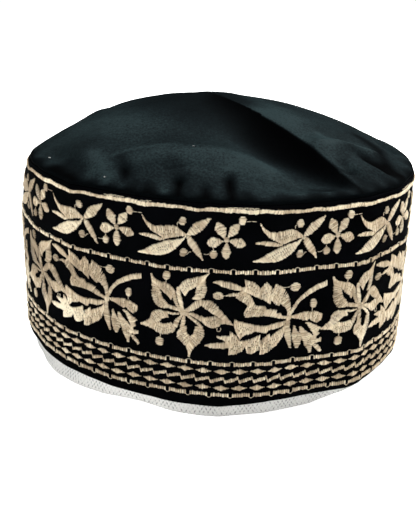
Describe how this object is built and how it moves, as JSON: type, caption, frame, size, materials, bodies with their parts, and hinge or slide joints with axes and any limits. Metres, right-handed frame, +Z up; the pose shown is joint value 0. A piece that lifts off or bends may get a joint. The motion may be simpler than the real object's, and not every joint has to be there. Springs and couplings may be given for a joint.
{
  "type": "kufi cap",
  "caption": "Brimless oval cap with a stiff upright embroidered band, a soft domed crown with a storage crease, and a woven tape inside the rim.",
  "frame": {"origin": "on the floor, under the middle of the cap's bounding box", "axes": "+X along the oval's long axis, +Y along its short axis, +Z up through the crown"},
  "size_m": [0.1964, 0.1762, 0.1205],
  "materials": {
    "band_cloth": "matte stiffened cotton with beige embroidery",
    "crown_cloth": "soft low sheen, brushed sateen",
    "tape_cloth": "matte woven herringbone tape"
  },
  "bodies": {
    "root": {"side_band": "band_cloth", "crown": "crown_cloth", "sweatband": "tape_cloth"}
  },
  "joints": []
}
